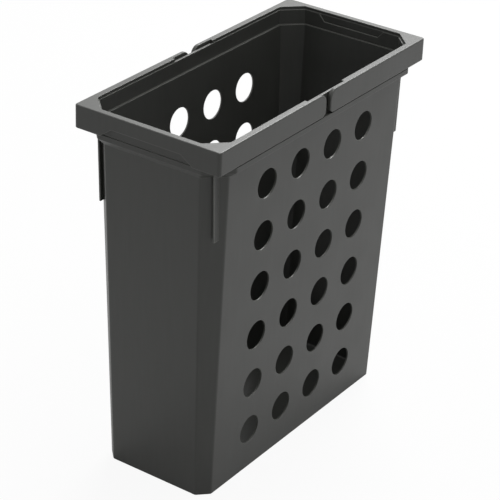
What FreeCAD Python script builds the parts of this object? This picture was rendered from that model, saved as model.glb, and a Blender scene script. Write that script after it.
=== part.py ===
import FreeCAD, Part
import math
import os
import Sketcher

# Laundry basket that hangs in a cabinet pull-out: a tapered tub with ventilation holes and a
# shoulder round its rim, and two U-shaped handles that lie round the rim and fold up.
# X is the basket's width, Y its length and Z is up, in millimetres.
# The origin is the middle of the floor's underside, and the front handle is on the -Y side.

doc = FreeCAD.newDocument("laundry_basket")
sizes = doc.addObject("Spreadsheet::Sheet", "sizes")

DRIVING_SIZES = {
    # Tub: outer sizes at the floor, and how far each wall leans out between floor and ledge.
    # Its corners are flat at 45 degrees, which takes a leg off both walls, with small roundings
    "tub_base_width": 158,
    "tub_base_length": 389,
    "side_lean": 15,
    "end_lean": 14.6,
    "ledge_height": 468.5,
    "corner_foot_leg": 14.2,
    "corner_ledge_leg": 24.2,
    "corner_blend_radius": 4.5,
    "tub_wall": 2,
    "tub_floor": 2.5,
    "base_edge_radius": 1,
    "floor_edge_radius": 3,
    # Ledge and collar: the wall steps out to a collar that stands inside the handles
    "ledge_step_side": 4.5,
    "ledge_step_end": 3.9,
    "collar_rise": 19.7,
    "collar_wall": 3.5,
    "collar_leg": 26,
    "ledge_edge_radius": 0.5,
    "collar_edge_radius": 0.5,
    # Shoulder that hangs the basket in its frame
    "shoulder_overhang_side": 5.5,
    "shoulder_overhang_end": 1,
    "shoulder_leg": 28.5,
    "shoulder_edge": 6.8,
    "shoulder_slope": 8.3,
    "shoulder_edge_radius": 0.8,
    # Shallow panel in the collar's inner face at both short sides, open at the top
    "panel_top_width": 99,
    "panel_foot_width": 82,
    "panel_height": 9.8,
    "panel_depth": 1.2,
    # Ventilation holes in both long sides
    "hole_diameter": 38.6,
    "hole_columns": 4,
    "hole_rows": 6,
    "hole_end_margin": 90.1,
    "hole_foot_margin": 58,
    "hole_top_margin": 61.5,
    "hole_edge_radius": 0.5,
    # Guide fins below the shoulder, one beside each corner
    "fin_thickness": 2,
    "fin_side_inset": 10,
    "fin_length": 82,
    "fin_top_setback": 7,
    "fin_foot_setback": 7.6,
    # Handles
    "handle_side_clearance": 1.5,
    "handle_rest_clearance": 0.3,
    "handle_end_reach": 7,
    "handle_gap": 8.8,
    "cheek_thickness": 5,
    "cheek_length": 34.4,
    "skirt_height": 30,
    "skirt_wall": 2.5,
    "skirt_corner_radius": 4.2,
    "shoulder_clearance": 0.9,
    "flange_thickness": 3.5,
    "flange_side_width": 9,
    "flange_end_width": 9,
    "flange_mouth_leg": 23.5,
    "outer_edge_radius": 1.7,
    "inner_edge_radius": 0.5,
    "cheek_top_radius": 12,
    "cheek_foot_radius": 8,
    "recess_foot_width": 136,
    "recess_top_width": 100,
    "recess_height": 12.6,
    # Pivot: a stud on the collar in a blind socket of the handle's cheek
    "pivot_setback": 12,
    "pivot_drop": 11.6,
    "stud_radius": 4,
    "stud_length": 4.7,
    "stud_running_clearance": 0.05,
    "stud_end_clearance": 0.4,
    # Length by which one feature of a solid runs into the next, so that they join
    "root_overlap": 0.6,
}

for row, (alias, number) in enumerate(DRIVING_SIZES.items(), start=1):
    sizes.set(f"A{row}", alias.replace("_", " "))
    sizes.set(f"B{row}", str(number))
    sizes.setAlias(f"B{row}", alias)
doc.recompute()

# Heights, worked out from the sheet
COLLAR_TOP = "(sizes.ledge_height + sizes.collar_rise)"
FLANGE_FOOT = f"({COLLAR_TOP} + sizes.handle_rest_clearance)"
BASKET_TOP = f"({FLANGE_FOOT} + sizes.flange_thickness)"
SKIRT_FOOT = f"({BASKET_TOP} - sizes.skirt_height)"
SHOULDER_TOP = f"({SKIRT_FOOT} - sizes.shoulder_clearance)"
SHOULDER_EDGE_FOOT = f"({SHOULDER_TOP} - sizes.shoulder_edge)"
SHOULDER_ROOT = f"({SHOULDER_EDGE_FOOT} - sizes.shoulder_slope)"

# Plan sizes, worked out from the sheet
RIM_WIDTH = "(sizes.tub_base_width + 2 * sizes.side_lean)"
RIM_LENGTH = "(sizes.tub_base_length + 2 * sizes.end_lean)"
COLLAR_WIDTH = f"({RIM_WIDTH} + 2 * sizes.ledge_step_side)"
COLLAR_LENGTH = f"({RIM_LENGTH} + 2 * sizes.ledge_step_end)"
SHOULDER_WIDTH = f"({COLLAR_WIDTH} + 2 * sizes.shoulder_overhang_side)"
SHOULDER_LENGTH = f"({COLLAR_LENGTH} + 2 * sizes.shoulder_overhang_end)"
CHEEK_INNER_WIDTH = f"({COLLAR_WIDTH} + 2 * sizes.handle_side_clearance)"
BASKET_WIDTH = f"({CHEEK_INNER_WIDTH} + 2 * sizes.cheek_thickness)"
BASKET_LENGTH = f"({COLLAR_LENGTH} + 2 * sizes.handle_end_reach)"

# Pivot of each handle, at this distance from the middle of the basket's length
PIVOT_REACH = "(sizes.handle_gap / 2 + sizes.pivot_setback)"
PIVOT_HEIGHT = f"({BASKET_TOP} - sizes.pivot_drop)"

# Roundings, none of which takes more than its share of the wall that it lies on
LARGE_SHARE = "0.7"
SMALL_SHARE = "0.25"
SHOULDER_ROUNDING = f"min(sizes.shoulder_edge_radius; sizes.shoulder_edge * {SMALL_SHARE})"
COLLAR_ROUNDING = f"min(sizes.collar_edge_radius; sizes.collar_wall * {SMALL_SHARE})"
HOLE_ROUNDING = f"min(sizes.hole_edge_radius; sizes.tub_wall * {SMALL_SHARE})"
OUTER_ROUNDING = f"min(sizes.outer_edge_radius; sizes.skirt_wall * {LARGE_SHARE})"
INNER_ROUNDING = f"min(sizes.inner_edge_radius; sizes.skirt_wall * {SMALL_SHARE})"

# Leeway, in mm, within which two places count as the same
SAME_PLACE = 0.01
# A hole's edge lies on a leaning wall and on its rounding, so its box is a little larger
HOLE_EDGE_LEEWAY = 0.1


def width_at(height):
    """Formula for the outer width of the leaning side walls at a height."""
    return f"(sizes.tub_base_width + 2 * sizes.side_lean * {height} / sizes.ledge_height)"


def length_at(height):
    """Formula for the outer length of the leaning end walls at a height."""
    return f"(sizes.tub_base_length + 2 * sizes.end_lean * {height} / sizes.ledge_height)"


def leg_at(height):
    """Formula for the leg of the tub's flat corners, which widen as the walls lean out."""
    growth = "(sizes.corner_ledge_leg - sizes.corner_foot_leg)"
    return f"(sizes.corner_foot_leg + {growth} * {height} / sizes.ledge_height)"


def leg_inside(leg, inset):
    """Formula for the leg of a flat corner that runs parallel to another, inside it."""
    return f"({leg} - (2 - sqrt(2)) * {inset})"


def number_of(body, formula):
    """Number that a formula gives with the sheet as it stands."""
    return float(body.evalExpression(formula))


def new_body(name):
    body = doc.addObject("PartDesign::Body", name)
    body.Label = name
    return body


def origin_feature(body, role):
    for feature in body.Origin.OriginFeatures:
        if feature.Role == role:
            return feature
    raise ValueError(role)


def new_sketch(body, name, plane, offset="0"):
    """Sketch on a plane of the body's origin, moved along the plane's normal."""
    sketch = body.newObject("Sketcher::SketchObject", name)
    sketch.AttachmentSupport = [(origin_feature(body, plane), "")]
    sketch.MapMode = "FlatFace"
    sketch.setExpression("AttachmentOffset.Base.z", offset)
    return sketch


def bind(sketch, name, constraint_type, places, formula):
    """Add a dimension to the sketch and tie it to a formula of the sheet."""
    size = number_of(sketch, formula)
    index = sketch.addConstraint(Sketcher.Constraint(constraint_type, *places, size))
    sketch.renameConstraint(index, name)
    sketch.setExpression(f"Constraints.{name}", formula)


def line(sketch, start, end):
    return sketch.addGeometry(Part.LineSegment(FreeCAD.Vector(*start, 0), FreeCAD.Vector(*end, 0)))


def rounded_rectangle(sketch, width, length, radius):
    """Rectangle with equal round corners, centred on the sketch's origin."""
    half_x = number_of(sketch, width) / 2
    half_y = number_of(sketch, length) / 2
    corner = number_of(sketch, radius)
    flat_x = half_x - corner
    flat_y = half_y - corner
    sides = [
        line(sketch, (-flat_x, -half_y), (flat_x, -half_y)),
        line(sketch, (half_x, -flat_y), (half_x, flat_y)),
        line(sketch, (flat_x, half_y), (-flat_x, half_y)),
        line(sketch, (-half_x, flat_y), (-half_x, -flat_y)),
    ]
    quarter = math.pi / 2
    centres = [(flat_x, -flat_y), (flat_x, flat_y), (-flat_x, flat_y), (-flat_x, -flat_y)]
    corners = []
    for turn, centre in enumerate(centres):
        full_turn = Part.Circle(FreeCAD.Vector(*centre, 0), FreeCAD.Vector(0, 0, 1), corner)
        arc = Part.ArcOfCircle(full_turn, quarter * (turn - 1), quarter * turn)
        corners.append(sketch.addGeometry(arc))
    for turn in range(4):
        side, next_side, arc = sides[turn], sides[(turn + 1) % 4], corners[turn]
        sketch.addConstraint(Sketcher.Constraint("Tangent", side, 2, arc, 1))
        sketch.addConstraint(Sketcher.Constraint("Tangent", arc, 2, next_side, 1))
        direction = "Horizontal" if turn % 2 == 0 else "Vertical"
        sketch.addConstraint(Sketcher.Constraint(direction, side))
    for arc in corners[1:]:
        sketch.addConstraint(Sketcher.Constraint("Equal", corners[0], arc))
    sketch.addConstraint(Sketcher.Constraint("Symmetric", corners[0], 3, corners[2], 3, -1, 1))
    bind(sketch, "width", "DistanceX", (sides[3], 1, sides[1], 1), width)
    bind(sketch, "length", "DistanceY", (sides[0], 1, sides[2], 1), length)
    bind(sketch, "radius", "Radius", (corners[0],), radius)


def flat_cornered_rectangle(sketch, width, length, leg, radius):
    """Rectangle with equal flat corners, centred on the sketch's origin.

    Where a flat corner meets a side there is a small arc. The centres of all eight arcs and
    their radius fix the outline, because every side touches two arcs of the same radius.
    """
    side_reach = f"({width} / 2 - {radius})"
    end_reach = f"({length} / 2 - {radius})"
    arc_setback = f"({leg} + (sqrt(2) - 1) * {radius})"
    side_start = f"({length} / 2 - {arc_setback})"
    end_start = f"({width} / 2 - {arc_setback})"
    minus = "-1 * "
    centres = [
        ("", end_start, minus, end_reach, -2),
        ("", side_reach, minus, side_start, -1),
        ("", side_reach, "", side_start, 0),
        ("", end_start, "", end_reach, 1),
        (minus, end_start, "", end_reach, 2),
        (minus, side_reach, "", side_start, 3),
        (minus, side_reach, minus, side_start, 4),
        (minus, end_start, minus, end_reach, 5),
    ]
    bend = math.pi / 4
    bend_radius = number_of(sketch, radius)
    arcs = []
    for sign_x, across, sign_y, up, turn in centres:
        centre = FreeCAD.Vector(number_of(sketch, f"{sign_x}{across}"),
                                number_of(sketch, f"{sign_y}{up}"), 0)
        full_turn = Part.Circle(centre, FreeCAD.Vector(0, 0, 1), bend_radius)
        arc = Part.ArcOfCircle(full_turn, bend * turn, bend * (turn + 1))
        arcs.append(sketch.addGeometry(arc))
    for i, arc in enumerate(arcs):
        following = arcs[(i + 1) % len(arcs)]
        start = sketch.getPoint(arc, 2)
        end = sketch.getPoint(following, 1)
        side = line(sketch, (start.x, start.y), (end.x, end.y))
        sketch.addConstraint(Sketcher.Constraint("Tangent", arc, 2, side, 1))
        sketch.addConstraint(Sketcher.Constraint("Tangent", side, 2, following, 1))
    for arc in arcs[1:]:
        sketch.addConstraint(Sketcher.Constraint("Equal", arcs[0], arc))
    for i, (sign_x, across, sign_y, up, turn) in enumerate(centres):
        centre = (-1, 1, arcs[i], 3)
        bind(sketch, f"arc{i}_across", "DistanceX", centre, f"{sign_x}{across}")
        bind(sketch, f"arc{i}_up", "DistanceY", centre, f"{sign_y}{up}")
    bind(sketch, "arc_radius", "Radius", (arcs[0],), radius)


def polygon(sketch, corners, name="corner"):
    """Closed outline through corners that are each a pair of formulas."""
    places = [(number_of(sketch, x), number_of(sketch, y)) for x, y in corners]
    count = len(places)
    edges = [line(sketch, places[i], places[(i + 1) % count]) for i in range(count)]
    for i in range(count):
        following = edges[(i + 1) % count]
        sketch.addConstraint(Sketcher.Constraint("Coincident", edges[i], 2, following, 1))
    for i, (x, y) in enumerate(corners):
        bind(sketch, f"{name}{i}_across", "DistanceX", (-1, 1, edges[i], 1), x)
        bind(sketch, f"{name}{i}_up", "DistanceY", (-1, 1, edges[i], 1), y)


def circle(sketch, across, up, radius, name="circle"):
    centre = FreeCAD.Vector(number_of(sketch, across), number_of(sketch, up), 0)
    shape = Part.Circle(centre, FreeCAD.Vector(0, 0, 1), number_of(sketch, radius))
    index = sketch.addGeometry(shape)
    bind(sketch, f"{name}_across", "DistanceX", (-1, 1, index, 3), across)
    bind(sketch, f"{name}_up", "DistanceY", (-1, 1, index, 3), up)
    bind(sketch, f"{name}_radius", "Radius", (index,), radius)


def pad(body, name, sketch, length, side="One side"):
    feature = body.newObject("PartDesign::Pad", name)
    feature.Profile = sketch
    feature.SideType = side
    feature.setExpression("Length", length)
    doc.recompute()
    return feature


def pocket(body, name, sketch, length, side="One side", reversed_cut=False):
    """Pocket that has to take material away, or the script stops."""
    before = body.Shape.Volume
    feature = body.newObject("PartDesign::Pocket", name)
    feature.Profile = sketch
    feature.SideType = side
    feature.Reversed = reversed_cut
    feature.setExpression("Length", length)
    doc.recompute()
    if not body.Shape.Volume < before:
        raise ValueError(f"{name} cuts nothing")
    return feature


def tapered_block(body, name, foot, top, inset):
    """Block with leaning sides and flat corners, inside the tub's outer walls by an inset."""
    foot_width = f"({width_at(foot)} / 2 - {inset})"
    foot_length = f"({length_at(foot)} / 2 - {inset})"
    top_width = f"({width_at(top)} / 2 - {inset})"
    top_length = f"({length_at(top)} / 2 - {inset})"
    across = new_sketch(body, f"{name}_width", "XZ_Plane")
    polygon(across, [
        (f"-{foot_width}", foot),
        (foot_width, foot),
        (top_width, top),
        (f"-{top_width}", top),
    ])
    pad(body, f"{name}_block", across, f"2 * {top_length}", "Symmetric")
    along = new_sketch(body, f"{name}_length", "YZ_Plane")
    for sign, end in (("-", "front"), ("", "rear")):
        polygon(along, [
            (f"{sign}{foot_length}", foot),
            (f"{sign}{top_length}", foot),
            (f"{sign}{top_length}", top),
        ], end)
    pocket(body, f"{name}_leaning_ends", along, f"2 * {top_width}", "Symmetric")

    # Flat corners, cut along both diagonals
    foot_leg = leg_inside(leg_at(foot), inset)
    top_leg = leg_inside(leg_at(top), inset)
    foot_reach = f"(({foot_width} + {foot_length} - {foot_leg}) / sqrt(2))"
    top_reach = f"(({top_width} + {top_length} - {top_leg}) / sqrt(2))"
    outer_reach = f"(({top_width} + {top_length}) / sqrt(2))"
    for diagonal, angle in (("first", 45), ("second", -45)):
        slanted = new_sketch(body, f"{name}_{diagonal}_diagonal", "XZ_Plane")
        turn = FreeCAD.Rotation(FreeCAD.Vector(0, 1, 0), angle)
        slanted.AttachmentOffset = FreeCAD.Placement(FreeCAD.Vector(0, 0, 0), turn)
        for sign, end in (("-", "one"), ("", "other")):
            polygon(slanted, [
                (f"{sign}{foot_reach}", foot),
                (f"{sign}{outer_reach}", foot),
                (f"{sign}{outer_reach}", top),
                (f"{sign}{top_reach}", top),
            ], end)
        pocket(body, f"{name}_{diagonal}_corners", slanted, f"2 * {top_length}", "Symmetric")
    rise = number_of(body, f"{top} - {foot}")
    fillet(body, f"{name}_corner_blends", f"sizes.corner_blend_radius - {inset}",
           lambda box: near(box.ZLength, rise))


def loft(body, name, kind, first, last):
    feature = body.newObject(kind, name)
    feature.Profile = first
    feature.Sections = [last]
    feature.Ruled = True
    doc.recompute()
    return feature


def mirrored(body, name, originals, role):
    feature = body.newObject("PartDesign::Mirrored", name)
    feature.Originals = originals
    feature.MirrorPlane = (origin_feature(body, role), [""])
    body.Tip = feature
    doc.recompute()
    return feature


def fillet(body, name, radius, wanted):
    """Round the edges whose boxes the test accepts."""
    base = body.Tip
    edges = enumerate(base.Shape.Edges, start=1)
    names = [f"Edge{index}" for index, edge in edges if wanted(edge.BoundBox)]
    if not names:
        raise ValueError(f"{name} finds no edge")
    feature = body.newObject("PartDesign::Fillet", name)
    feature.Base = (base, names)
    feature.setExpression("Radius", radius)
    doc.recompute()
    return feature


def near(first, second):
    return abs(first - second) < SAME_PLACE


def reach_x(box):
    return max(abs(box.XMin), abs(box.XMax))


def reach_y(box):
    return max(abs(box.YMin), abs(box.YMax))


def level_edge(height, width=0, length=0):
    """Test for an edge that is level at a height and is not inside a centred rectangle."""
    def test(box):
        outside = reach_x(box) > width / 2 or reach_y(box) > length / 2
        return near(box.ZMin, height) and near(box.ZMax, height) and outside
    return test


def level_edge_within(height, width, length):
    """Test for an edge that is level at a height and lies inside a centred rectangle."""
    def test(box):
        inside = reach_x(box) < width / 2 and reach_y(box) < length / 2
        return near(box.ZMin, height) and near(box.ZMax, height) and inside
    return test


def build_tub():
    """Tapered tub with ledge, collar, shoulder, fins, holes and pivot studs in one moulding."""
    body = new_body("laundry_tub")

    # Outside of the walls, solid until the core is taken out
    tapered_block(body, "outside", "0", "sizes.ledge_height", "0")
    fillet(body, "base_edge", "sizes.base_edge_radius", level_edge(0))

    # Shoulder: a slope out of the wall, then an upright edge
    root = new_sketch(body, "shoulder_root_outline", "XY_Plane", SHOULDER_ROOT)
    flat_cornered_rectangle(
        root,
        f"({width_at(SHOULDER_ROOT)} - 2 * sizes.root_overlap)",
        f"({length_at(SHOULDER_ROOT)} - 2 * sizes.root_overlap)",
        leg_inside(leg_at(SHOULDER_ROOT), "sizes.root_overlap"),
        "(sizes.corner_blend_radius - sizes.root_overlap)",
    )
    shoulder_sizes = (SHOULDER_WIDTH, SHOULDER_LENGTH, "sizes.shoulder_leg",
                      "sizes.corner_blend_radius")
    slope_end = new_sketch(body, "shoulder_slope_outline", "XY_Plane", SHOULDER_EDGE_FOOT)
    flat_cornered_rectangle(slope_end, *shoulder_sizes)
    loft(body, "shoulder_slope", "PartDesign::AdditiveLoft", root, slope_end)
    edge_outline = new_sketch(body, "shoulder_edge_outline", "XY_Plane", SHOULDER_EDGE_FOOT)
    flat_cornered_rectangle(edge_outline, *shoulder_sizes)
    pad(body, "shoulder_edge", edge_outline, "sizes.shoulder_edge")

    # Collar, solid until its mouth is cut
    collar = new_sketch(body, "collar_outline", "XY_Plane", SHOULDER_TOP)
    flat_cornered_rectangle(collar, COLLAR_WIDTH, COLLAR_LENGTH, "sizes.collar_leg",
                            "sizes.corner_blend_radius")
    pad(body, "collar", collar, f"{COLLAR_TOP} - {SHOULDER_TOP}")

    # The shoulder's edges lie outside the half-way line between collar and shoulder
    half_way = (number_of(body, f"({COLLAR_WIDTH} + {SHOULDER_WIDTH}) / 2"),
                number_of(body, f"({COLLAR_LENGTH} + {SHOULDER_LENGTH}) / 2"))
    for name, height in (("top", SHOULDER_TOP), ("foot", SHOULDER_EDGE_FOOT)):
        fillet(body, f"shoulder_{name}_rounding", SHOULDER_ROUNDING,
               level_edge(number_of(body, height), *half_way))

    # Fins: upright plates out of the flat corners, almost to the short walls' planes
    fin_offset = f"({RIM_WIDTH} / 2 - sizes.fin_side_inset - sizes.fin_thickness / 2)"
    fins = new_sketch(body, "fin_outlines", "YZ_Plane", fin_offset)
    fin_foot = f"({SHOULDER_ROOT} - sizes.fin_length)"
    fin_top_reach = f"({length_at(SHOULDER_ROOT)} / 2 - sizes.fin_top_setback)"
    fin_foot_reach = f"({length_at(fin_foot)} / 2 - sizes.fin_foot_setback)"
    fin_root = "(sizes.tub_base_length / 2 - sizes.corner_foot_leg)"
    for end in ("-", ""):
        corners = [
            (f"{end}1 * {fin_root}", fin_foot),
            (f"{end}1 * {fin_foot_reach}", fin_foot),
            (f"{end}1 * {fin_top_reach}", SHOULDER_ROOT),
            (f"{end}1 * {fin_top_reach}", SHOULDER_EDGE_FOOT),
            (f"{end}1 * {fin_root}", SHOULDER_EDGE_FOOT),
        ]
        polygon(fins, corners, "front" if end else "rear")
    fin_pad = pad(body, "fins", fins, "sizes.fin_thickness")
    mirrored(body, "fins_of_other_side", [fin_pad], "YZ_Plane")

    # Wide mouth above the ledge, and the core that leaves the walls and the floor
    before = body.Shape.Volume
    mouth = new_sketch(body, "mouth_outline", "XY_Plane", COLLAR_TOP)
    flat_cornered_rectangle(
        mouth,
        f"({COLLAR_WIDTH} - 2 * sizes.collar_wall)",
        f"({COLLAR_LENGTH} - 2 * sizes.collar_wall)",
        leg_inside("sizes.collar_leg", "sizes.collar_wall"),
        "(sizes.corner_blend_radius - sizes.collar_wall)",
    )
    pocket(body, "mouth", mouth, "sizes.collar_rise")
    core = new_body("core")
    tapered_block(core, "inside", "sizes.tub_floor", "sizes.ledge_height", "sizes.tub_wall")
    floor_height = number_of(core, "sizes.tub_floor")
    fillet(core, "floor_edge", "sizes.floor_edge_radius", level_edge(floor_height))
    hollow = body.newObject("PartDesign::Boolean", "hollow")
    hollow.Type = "Cut"
    hollow.addObject(core)
    doc.recompute()
    if not body.Shape.Volume < before / 2:
        raise ValueError("the tub is not hollow")
    fillet(body, "ledge_edge", "sizes.ledge_edge_radius",
           level_edge_within(number_of(body, "sizes.ledge_height"),
                             number_of(body, RIM_WIDTH), number_of(body, RIM_LENGTH)))

    # Panels in the inner face of the collar's short sides
    panels = new_sketch(body, "panel_outline", "XZ_Plane")
    polygon(panels, [
        ("-sizes.panel_foot_width / 2", f"{COLLAR_TOP} - sizes.panel_height"),
        ("sizes.panel_foot_width / 2", f"{COLLAR_TOP} - sizes.panel_height"),
        ("sizes.panel_top_width / 2", COLLAR_TOP),
        ("-sizes.panel_top_width / 2", COLLAR_TOP),
    ])
    pocket(body, "panels", panels,
           f"{COLLAR_LENGTH} - 2 * sizes.collar_wall + 2 * sizes.panel_depth", "Symmetric")
    collar_top = number_of(body, COLLAR_TOP)
    panel_foot = number_of(body, f"{COLLAR_TOP} - sizes.panel_height")
    inner_reach = number_of(body, f"{COLLAR_LENGTH} / 2 - sizes.collar_wall")
    across_wall = number_of(body, "sizes.collar_wall + sizes.collar_edge_radius")

    def is_collar_lip(box):
        top_edge = near(box.ZMin, collar_top) and near(box.ZMax, collar_top)
        along_lip = max(box.XLength, box.YLength) > across_wall
        in_inner_face = near(box.YLength, 0) and near(reach_y(box), inner_reach)
        panel_edge = in_inner_face and box.ZMin > panel_foot - SAME_PLACE
        return along_lip and (top_edge or panel_edge)

    fillet(body, "collar_lip", COLLAR_ROUNDING, is_collar_lip)

    # Holes through both long walls, in a grid
    first_hole = new_sketch(body, "hole_outline", "YZ_Plane")
    circle(first_hole, "-(sizes.tub_base_length / 2 - sizes.hole_end_margin)",
           "sizes.hole_foot_margin", "sizes.hole_diameter / 2")
    hole = pocket(body, "first_hole", first_hole, BASKET_WIDTH, "Symmetric")
    grid = body.newObject("PartDesign::LinearPattern", "hole_grid")
    grid.Originals = [hole]
    grid.Direction = (origin_feature(body, "Y_Axis"), [""])
    grid.Direction2 = (origin_feature(body, "Z_Axis"), [""])
    grid.setExpression("Length", "sizes.tub_base_length - 2 * sizes.hole_end_margin")
    grid.setExpression("Length2",
                       "sizes.ledge_height - sizes.hole_foot_margin - sizes.hole_top_margin")
    grid.setExpression("Occurrences", "sizes.hole_columns")
    grid.setExpression("Occurrences2", "sizes.hole_rows")
    body.Tip = grid
    doc.recompute()
    hole_size = number_of(body, "sizes.hole_diameter")
    foot_half_width = number_of(body, "sizes.tub_base_width / 2")
    taper = number_of(body, "sizes.side_lean / sizes.ledge_height")

    def is_outer_hole_edge(box):
        round_edge = all(abs(length - hole_size) < HOLE_EDGE_LEEWAY
                         for length in (box.YLength, box.ZLength))
        middle_height = (box.ZMin + box.ZMax) / 2
        wall_reach = foot_half_width + taper * middle_height
        outer = reach_x(box) > wall_reach
        return round_edge and outer

    fillet(body, "hole_edges", HOLE_ROUNDING, is_outer_hole_edge)

    # Pivot studs on the collar's long sides
    stud_root = f"({COLLAR_WIDTH} / 2 - sizes.collar_wall)"
    studs = new_sketch(body, "stud_outlines", "YZ_Plane", stud_root)
    circle(studs, f"-{PIVOT_REACH}", PIVOT_HEIGHT, "sizes.stud_radius", "front")
    circle(studs, PIVOT_REACH, PIVOT_HEIGHT, "sizes.stud_radius", "rear")
    stud_pad = pad(body, "studs", studs, "sizes.collar_wall + sizes.stud_length")
    mirrored(body, "studs_of_other_side", [stud_pad], "YZ_Plane")
    return body


def build_handle(name):
    """U-shaped handle: a flange with a skirt below it, and a cheek at each end."""
    body = new_body(name)
    end = "(-sizes.handle_gap / 2)"
    cheek_start = f"({end} - sizes.cheek_length)"

    # Solid block of the whole handle frame
    outline = new_sketch(body, "outline", "XY_Plane", SKIRT_FOOT)
    rounded_rectangle(outline, BASKET_WIDTH, BASKET_LENGTH, "sizes.skirt_corner_radius")
    pad(body, "block", outline, "sizes.skirt_height")

    # The other half of the frame is the other handle
    other = new_sketch(body, "other_half_outline", "XY_Plane", BASKET_TOP)
    polygon(other, [
        (f"-{BASKET_WIDTH}", end),
        (BASKET_WIDTH, end),
        (BASKET_WIDTH, BASKET_LENGTH),
        (f"-{BASKET_WIDTH}", BASKET_LENGTH),
    ])
    pocket(body, "other_half", other, "sizes.skirt_height")

    # Space under the flange, inside the skirt
    half_inside = f"({BASKET_WIDTH} / 2 - sizes.skirt_wall)"
    skirt_front = f"(-{BASKET_LENGTH} / 2 + sizes.skirt_wall)"
    under = new_sketch(body, "skirt_space_outline", "XY_Plane", SKIRT_FOOT)
    polygon(under, [
        (f"-{half_inside}", skirt_front),
        (half_inside, skirt_front),
        (half_inside, cheek_start),
        (f"-{half_inside}", cheek_start),
    ])
    pocket(body, "skirt_space", under, "sizes.skirt_height - sizes.flange_thickness",
           reversed_cut=True)

    # Space between the two cheeks
    half_cheeks = f"({CHEEK_INNER_WIDTH} / 2)"
    between = new_sketch(body, "cheek_space_outline", "XY_Plane", BASKET_TOP)
    polygon(between, [
        (f"-{half_cheeks}", cheek_start),
        (half_cheeks, cheek_start),
        (half_cheeks, "sizes.cheek_length"),
        (f"-{half_cheeks}", "sizes.cheek_length"),
    ])
    pocket(body, "cheek_space", between, "sizes.skirt_height")

    # Mouth of the flange
    mouth = new_sketch(body, "flange_mouth_outline", "XY_Plane", BASKET_TOP)
    flat_cornered_rectangle(
        mouth,
        f"({BASKET_WIDTH} - 2 * sizes.flange_side_width)",
        f"({BASKET_LENGTH} - 2 * sizes.flange_end_width)",
        "sizes.flange_mouth_leg",
        "sizes.corner_blend_radius",
    )
    pocket(body, "flange_mouth", mouth, "sizes.flange_thickness")

    # Blind sockets for the studs, in the inner faces of both cheeks
    socket = new_sketch(body, "socket_outline", "YZ_Plane")
    circle(socket, f"-{PIVOT_REACH}", PIVOT_HEIGHT,
           "sizes.stud_radius + sizes.stud_running_clearance")
    pocket(body, "sockets", socket,
           f"{COLLAR_WIDTH} + 2 * sizes.stud_length + 2 * sizes.stud_end_clearance", "Symmetric")

    # Round ends of the cheeks, so that they swing clear of the shoulder and of each other
    end_place = number_of(body, end)
    top = number_of(body, BASKET_TOP)
    foot = number_of(body, SKIRT_FOOT)

    def cheek_end_edge(height):
        def test(box):
            across = near(box.YLength, 0) and near(box.YMax, end_place)
            return across and near(box.ZMin, height) and near(box.ZMax, height)
        return test

    fillet(body, "cheek_tops", "sizes.cheek_top_radius", cheek_end_edge(top))
    fillet(body, "cheek_feet", "sizes.cheek_foot_radius", cheek_end_edge(foot))

    # Edges that the hand meets: the rounding runs on round the cheeks and the skirt's foot
    skirt_wall = number_of(body, "sizes.skirt_wall")
    inside_skirt = (number_of(body, BASKET_WIDTH) - skirt_wall,
                    number_of(body, BASKET_LENGTH) - skirt_wall)
    fillet(body, "outer_rounding", OUTER_ROUNDING, level_edge(top, *inside_skirt))
    fillet(body, "inner_rounding", INNER_ROUNDING, level_edge_within(top, *inside_skirt))

    # Finger recess in the foot of the skirt
    recess = new_sketch(body, "recess_outline", "XZ_Plane")
    polygon(recess, [
        ("-sizes.recess_foot_width / 2", f"{SKIRT_FOOT} - sizes.recess_height"),
        ("sizes.recess_foot_width / 2", f"{SKIRT_FOOT} - sizes.recess_height"),
        ("sizes.recess_foot_width / 2", SKIRT_FOOT),
        ("sizes.recess_top_width / 2", f"{SKIRT_FOOT} + sizes.recess_height"),
        ("-sizes.recess_top_width / 2", f"{SKIRT_FOOT} + sizes.recess_height"),
        ("-sizes.recess_foot_width / 2", SKIRT_FOOT),
    ])
    pocket(body, "recess", recess, BASKET_LENGTH, reversed_cut=True)

    return body


tub = build_tub()
front_handle = build_handle("front_handle")
rear_handle = build_handle("rear_handle")
rear_handle.Placement = FreeCAD.Placement(
    FreeCAD.Vector(0, 0, 0), FreeCAD.Rotation(FreeCAD.Vector(0, 0, 1), 180)
)

doc.recompute()
for item in doc.Objects:
    if "Invalid" in item.State or "Error" in item.State:
        raise ValueError(f"{item.Name} failed: {item.State}")
os.makedirs("parts", exist_ok=True)
for piece in (tub, front_handle, rear_handle):
    shape = piece.Shape
    if shape.isNull() or not shape.isValid():
        raise ValueError(f"{piece.Label} has no valid shape")
    shape.exportStep(os.path.join("parts", f"{piece.Label}.step"))
    box = shape.optimalBoundingBox()
    print(f"{piece.Label}: {len(shape.Solids)} solid, {shape.Volume / 1000:.1f} cm3, "
          f"x {box.XMin:.2f} {box.XMax:.2f}, y {box.YMin:.2f} {box.YMax:.2f}, "
          f"z {box.ZMin:.2f} {box.ZMax:.2f}")
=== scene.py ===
# %% [markdown]
# # A laundry basket, dressed for the studio
#
# The basket hangs in a cabinet pull-out. It is three injection mouldings: a tall tub, and two
# U-shaped handles that lie round its rim and fold up. Their shapes come ready made from the
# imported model, so they are loaded here and keep their places and their meshes.
#
# What is left to do is what a product photographer and a finisher would do: give the plastic
# its surface, lay a pale floor, hang the lamps and set up the camera. A mesh could be traced
# over each moulding instead, but the loaded solids already carry every rounding that shows,
# and a second skin would only drift away from them.

# %% Load the three mouldings
import math

import bmesh
import bpy
from mathutils import Matrix, Vector


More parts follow.
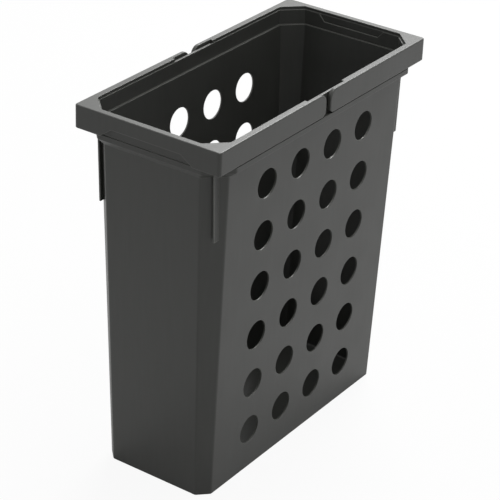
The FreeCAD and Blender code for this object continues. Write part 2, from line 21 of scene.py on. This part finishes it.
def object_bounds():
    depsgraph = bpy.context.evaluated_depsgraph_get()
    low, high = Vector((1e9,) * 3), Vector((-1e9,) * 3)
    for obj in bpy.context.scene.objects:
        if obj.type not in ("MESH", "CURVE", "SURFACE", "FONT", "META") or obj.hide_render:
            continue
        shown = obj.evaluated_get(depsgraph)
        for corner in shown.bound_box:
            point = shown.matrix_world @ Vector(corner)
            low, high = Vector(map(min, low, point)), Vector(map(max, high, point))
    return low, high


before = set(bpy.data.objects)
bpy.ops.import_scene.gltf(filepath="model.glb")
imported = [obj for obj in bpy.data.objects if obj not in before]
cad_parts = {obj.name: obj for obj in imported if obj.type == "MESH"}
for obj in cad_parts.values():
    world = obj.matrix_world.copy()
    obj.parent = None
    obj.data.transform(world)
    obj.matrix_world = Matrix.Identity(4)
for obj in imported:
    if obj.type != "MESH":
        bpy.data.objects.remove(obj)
bpy.context.view_layer.update()


def plain_box(box):
    """Lowest and highest corner of a box as lists of numbers."""
    return [[float(value) for value in corner] for corner in box]


cad_box = plain_box(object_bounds())
BASKET_SIZE = Vector(cad_box[1]) - Vector(cad_box[0])
MM = 0.001
print("basket, mm:", [round(value / MM, 1) for value in BASKET_SIZE])

# %% [markdown]
# ## Colours and nodes
#
# Colours are written as they would be picked on a screen, as sRGB hex values. Blender's
# shaders count light, so each value is turned to linear once, here.
#
# A material is a small graph of nodes. One helper adds a node, sets its properties and
# sockets, and joins its links, so that each material below reads like a recipe.

# %% Colour and node helpers
SRGB_TOE = 0.04045


def linear(hex_colour):
    """Linear RGBA of an sRGB colour such as #808080."""
    channels = [int(hex_colour[place:place + 2], 16) / 255 for place in (1, 3, 5)]
    light = [value / 12.92 if value <= SRGB_TOE else ((value + 0.055) / 1.055) ** 2.4
             for value in channels]
    return (*light, 1.0)


def add_node(tree, kind, links=None, values=None, **settings):
    """Add a node: settings are its properties, values its sockets, links what feeds them."""
    node = tree.nodes.new(kind)
    for name, value in settings.items():
        setattr(node, name, value)
    for socket, value in (values or {}).items():
        node.inputs[socket].default_value = value
    for socket, source in (links or {}).items():
        tree.links.new(source, node.inputs[socket])
    return node


print("mid grey #808080 in linear light:", round(linear("#808080")[0], 3))

# %% [markdown]
# ## Moulded polypropylene
#
# Baskets like this are injection moulded in polypropylene, coloured through in anthracite.
# The steel mould is spark eroded, which leaves it covered in fine pits, and the plastic takes
# that over as a satin grain. The eye gets a soft sheen instead of a mirror image, a little
# cloudiness where the melt cooled at different speeds, and edges that hands and the cabinet's
# frame have rubbed smoother and lighter. The paler edge colour is also a painted highlight:
# it stands in for the thin bright line that light draws along a rounded edge.
#
# The plastic could be one plain colour with one roughness, which looks like a computer model.
# Here every one of these traits has nodes of its own, with a width in millimetres:
#
# - Grain: the real pits are about 0.15 mm wide, which is finer than a pixel of the picture.
#   They are drawn 0.9 mm wide so that they show.
# - Clouds: colour and sheen drift over about 45 mm.
# - Flow: the melt runs from the middle of the floor up the walls, and leaves pale streaks some
#   6 mm wide and ten times as long.
# - Worn edges with a painted highlight: a bevel node looks 1.5 mm around each point. Where
#   its normal turns away from the true one there is an edge, and there the colour is paler,
#   partly as rubbed wear and partly as a painted highlight, and the sheen is smoother.

# %% Moulded polypropylene
POLYPROPYLENE_IOR = 1.49
GRAIN_WIDTH = 0.9 * MM
GRAIN_FINENESS = 0.6
CLOUD_WIDTH = 45 * MM
STREAK_WIDTH = 6 * MM
STREAK_STRETCH = 10
EDGE_REACH = 1.5 * MM
EDGE_SAMPLES = 8
EDGE_POLISH = 0.08
SHADE_DRIFT = 0.06
SHEEN_DRIFT = 0.03

# The softened normal and the true one match to 1 on a flat wall, and to less near an edge
EDGE_STARTS = 0.995
EDGE_MASK_FULL = 0.9

# One noise mostly stays this close to its middle of 0.5, and a sum of two to its middle of 1
ONE_NOISE_SPREAD = 0.2
TWO_NOISES_SPREAD = 0.3


def moulded_polypropylene(name, body_colour, edge_wear_and_highlight_colour, sheen_roughness, grain_depth):
    """Satin moulded plastic, with grain, clouds, flow streaks, and rubbed edges painted paler as
    wear and as a painted highlight.
    """
    material = bpy.data.materials.new(name)
    material.use_nodes = True
    tree = material.node_tree
    shader = tree.nodes["Principled BSDF"]
    shader.inputs["IOR"].default_value = POLYPROPYLENE_IOR
    place = add_node(tree, "ShaderNodeTexCoord").outputs["Object"]

    # A noise of scale 1 has blotches about a metre wide, so a scale is one over a width
    clouds = add_node(tree, "ShaderNodeTexNoise", {"Vector": place},
                      {"Scale": 1 / CLOUD_WIDTH, "Detail": 3})
    along_flow = add_node(tree, "ShaderNodeMapping", {"Vector": place},
                          {"Scale": (1, 1, 1 / STREAK_STRETCH)})
    streaks = add_node(tree, "ShaderNodeTexNoise", {"Vector": along_flow.outputs["Vector"]},
                       {"Scale": 1 / STREAK_WIDTH, "Detail": 2})
    grain = add_node(tree, "ShaderNodeTexNoise", {"Vector": place},
                     {"Scale": 1 / GRAIN_WIDTH, "Detail": 2, "Roughness": GRAIN_FINENESS})

    # An edge is where the softened normal leaves the true one
    softened = add_node(tree, "ShaderNodeBevel", values={"Radius": EDGE_REACH},
                        samples=EDGE_SAMPLES)
    geometry = add_node(tree, "ShaderNodeNewGeometry")
    likeness = add_node(tree, "ShaderNodeVectorMath", {
        0: softened.outputs["Normal"], 1: geometry.outputs["Normal"],
    }, operation="DOT_PRODUCT")
    edge = add_node(tree, "ShaderNodeMapRange", {"Value": likeness.outputs["Value"]}, {
        "From Min": EDGE_STARTS, "From Max": EDGE_MASK_FULL, "To Min": 0.0, "To Max": 1.0,
    }, interpolation_type="SMOOTHSTEP")

    # Colour: clouds and streaks first, then the paler edge, which is rubbed wear and a painted
    # highlight
    drift = add_node(tree, "ShaderNodeMath", {
        0: clouds.outputs["Fac"], 1: streaks.outputs["Fac"],
    }, operation="ADD")
    shade = add_node(tree, "ShaderNodeMapRange", {"Value": drift.outputs["Value"]}, {
        "From Min": 1 - TWO_NOISES_SPREAD, "From Max": 1 + TWO_NOISES_SPREAD,
        "To Min": 1 - SHADE_DRIFT, "To Max": 1 + SHADE_DRIFT,
    })
    tinted = add_node(tree, "ShaderNodeVectorMath", {"Scale": shade.outputs["Result"]}, {
        0: linear(body_colour)[:3],
    }, operation="SCALE")
    # The paler edge colour is partly rubbed wear and partly a painted highlight on rounded edges
    # A colour mix has its colours on sockets 6 and 7, and its result on socket 2
    coloured = add_node(tree, "ShaderNodeMix", {
        "Factor": edge.outputs["Result"], 6: tinted.outputs["Vector"],
    }, {7: linear(edge_wear_and_highlight_colour)}, data_type="RGBA")
    tree.links.new(coloured.outputs[2], shader.inputs["Base Color"])

    # Roughness: clouds make it drift, and rubbed edges are smoother
    cloudy = add_node(tree, "ShaderNodeMapRange", {"Value": clouds.outputs["Fac"]}, {
        "From Min": 0.5 - ONE_NOISE_SPREAD, "From Max": 0.5 + ONE_NOISE_SPREAD,
        "To Min": sheen_roughness - SHEEN_DRIFT, "To Max": sheen_roughness + SHEEN_DRIFT,
    })
    polished = add_node(tree, "ShaderNodeMath", {
        0: edge.outputs["Result"], 2: cloudy.outputs["Result"],
    }, {1: -EDGE_POLISH}, operation="MULTIPLY_ADD")
    tree.links.new(polished.outputs["Value"], shader.inputs["Roughness"])

    # Grain: pits and peaks of the spark-eroded mould
    relief = add_node(tree, "ShaderNodeBump", {"Height": grain.outputs["Fac"]},
                      {"Distance": grain_depth, "Strength": 1.0})
    tree.links.new(relief.outputs["Normal"], shader.inputs["Normal"])
    return material


print("materials so far:", len(bpy.data.materials))

# %% [markdown]
# ## One finish for the tub, one for the handles
#
# Tub and handles come from different moulds, often from different machines, so on a real
# basket they never match quite. The handles are touched most: their grain is a little
# shallower and their sheen a little higher. Both colours are near black in linear light, and
# stay clear of true black, so that the shadows inside the tub still have something to show.
#
# The finish goes into the slot that each moulding already has. Nothing is unwrapped, because
# every pattern lives in the object's own space and runs on over its corners.

# %% Dress the mouldings
# Each finish's paler edge colour is partly rubbed wear and partly a painted highlight
tub_finish = moulded_polypropylene(
    "spark_eroded_polypropylene_tub", body_colour="#41423f", edge_wear_and_highlight_colour="#73746f",
    sheen_roughness=0.42, grain_depth=0.030 * MM)
handle_finish = moulded_polypropylene(
    "spark_eroded_polypropylene_handle", body_colour="#434441", edge_wear_and_highlight_colour="#6c6d69",
    sheen_roughness=0.38, grain_depth=0.022 * MM)
FINISHES = {
    "laundry_tub": tub_finish,
    "front_handle": handle_finish,
    "rear_handle": handle_finish,
}
for name, finish in FINISHES.items():
    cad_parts[name].material_slots[0].material = finish
    print(name, "wears", finish.name)

# %% [markdown]
# ## Floor and backdrop
#
# The basket stands on a seamless white sweep, lit so evenly that floor and wall can't be told
# apart. A large pale floor does that job. To the lamps it is matt painted board, which throws
# soft light back up the walls of the tub. To the camera most of it is plain white, and what
# is left over still darkens under the basket, so that it stands and doesn't float. The sheen
# of the walls mirrors the floor too, and there less of it is white, because a white sweep
# lies in the basket's own shade near its foot.
#
# More light on the floor would whiten it too, but it would also wash out the plastic.

# %% Floor and backdrop
FLOOR_HALF_SIZE = 6.0
BOARD_PAINT = "#ededed"
BOARD_ROUGHNESS = 0.9
FLOOR_WHITENESS = 0.93
FLOOR_IN_SHEEN = 0.35

grid = bmesh.new()
bmesh.ops.create_grid(grid, x_segments=1, y_segments=1, size=FLOOR_HALF_SIZE)
floor_mesh = bpy.data.meshes.new("floor")
grid.to_mesh(floor_mesh)
grid.free()
floor = bpy.data.objects.new("floor", floor_mesh)
bpy.context.collection.objects.link(floor)

floor_board = bpy.data.materials.new("matt_painted_board")
floor_board.use_nodes = True
board = floor_board.node_tree
board_shader = board.nodes["Principled BSDF"]
board_shader.inputs["Base Color"].default_value = linear(BOARD_PAINT)
board_shader.inputs["Roughness"].default_value = BOARD_ROUGHNESS
rays = add_node(board, "ShaderNodeLightPath")
white_to_camera = add_node(board, "ShaderNodeMath", {0: rays.outputs["Is Camera Ray"]},
                           {1: FLOOR_WHITENESS}, operation="MULTIPLY")
seen_white = add_node(board, "ShaderNodeMath", {
    0: rays.outputs["Is Glossy Ray"], 2: white_to_camera.outputs["Value"],
}, {1: FLOOR_IN_SHEEN}, operation="MULTIPLY_ADD")
white = add_node(board, "ShaderNodeEmission", values={"Strength": 1.0})
floor_look = add_node(board, "ShaderNodeMixShader", {
    0: seen_white.outputs["Value"], 1: board_shader.outputs["BSDF"], 2: white.outputs["Emission"],
})
board.links.new(floor_look.outputs["Shader"], board.nodes["Material Output"].inputs["Surface"])
floor_mesh.materials.append(floor_board)
print("floor, m:", 2 * FLOOR_HALF_SIZE)

# %% [markdown]
# ## Light
#
# Dark satin plastic is lit by what it mirrors as much as by what falls on it. The room is a
# white tent: it looks white in the plastic's sheen and to the camera, and gives a lower, even
# fill to everything else. Two softboxes do the modelling. One stands behind the basket, on the
# side away from the camera, and its reflection makes the top of the rim the brightest
# surface. The other hangs above, a little to the right, and lights the inside of the tub.

# %% White tent
TENT_FILL = 0.17

tent = bpy.data.worlds.new("white_tent")
bpy.context.scene.world = tent
tent.use_nodes = True
sky = tent.node_tree
tent_rays = add_node(sky, "ShaderNodeLightPath")
seen = add_node(sky, "ShaderNodeMath", {
    0: tent_rays.outputs["Is Camera Ray"], 1: tent_rays.outputs["Is Glossy Ray"],
}, operation="MAXIMUM")
tent_strength = add_node(sky, "ShaderNodeMapRange", {"Value": seen.outputs["Value"]}, {
    "To Min": TENT_FILL, "To Max": 1.0,
})
sky.links.new(tent_strength.outputs["Result"], sky.nodes["Background"].inputs["Strength"])
sky.nodes["Background"].inputs["Color"].default_value = (1, 1, 1, 1)

# %% Softboxes
AIM = Vector((0, 0, 0.3))


def softbox(name, place, size, watts):
    """Square area lamp at a place, turned towards the basket."""
    lamp = bpy.data.lights.new(name, "AREA")
    lamp.size = size
    lamp.energy = watts
    stand = bpy.data.objects.new(name, lamp)
    bpy.context.collection.objects.link(stand)
    stand.location = place
    stand.rotation_mode = "QUATERNION"
    stand.rotation_quaternion = (Vector(place) - AIM).to_track_quat("Z", "Y")
    stand.visible_camera = False
    print(name, "stands", round((Vector(place) - AIM).length, 2), "m away")


softbox("softbox_behind", place=(-0.7, 1.98, 2.6), size=1.5, watts=82)
softbox("softbox_above", place=(0.4, 0.2, 2.1), size=1.2, watts=13)

# %% [markdown]
# ## Camera
#
# The picture is taken from the front right and from well above, with a long lens, so that
# the tapered walls stay nearly straight. The camera circles the basket at an azimuth and an
# elevation, looks at a point in the middle of its height, and is tilted a little about
# its own axis, as a hand-held shot is.

# %% Camera
AZIMUTH = math.radians(34.305)
ELEVATION = math.radians(28.373)
ROLL = math.radians(2.319)
DISTANCE = 2.5569
LENS_PIXELS = 2010.76
PICTURE_PIXELS = 500
SIGHT_LIMIT = 50
TARGET = Vector((-0.0001, 0, 0.2428))

back = Vector((
    math.sin(AZIMUTH) * math.cos(ELEVATION),
    -math.cos(AZIMUTH) * math.cos(ELEVATION),
    math.sin(ELEVATION),
))
level_right = Vector((0, 0, 1)).cross(back).normalized()
level_up = back.cross(level_right)
right = level_right * math.cos(ROLL) + level_up * math.sin(ROLL)
up = level_up * math.cos(ROLL) - level_right * math.sin(ROLL)

camera = bpy.data.objects.new("camera", bpy.data.cameras.new("camera"))
bpy.context.collection.objects.link(camera)
stance = Matrix((right, up, back)).transposed().to_4x4()
stance.translation = TARGET + back * DISTANCE
camera.matrix_world = stance
camera.data.lens = LENS_PIXELS * camera.data.sensor_width / PICTURE_PIXELS
camera.data.clip_end = SIGHT_LIMIT
bpy.context.scene.camera = camera
bpy.context.scene.view_settings.view_transform = "Standard"
print("lens, mm:", round(camera.data.lens, 1))
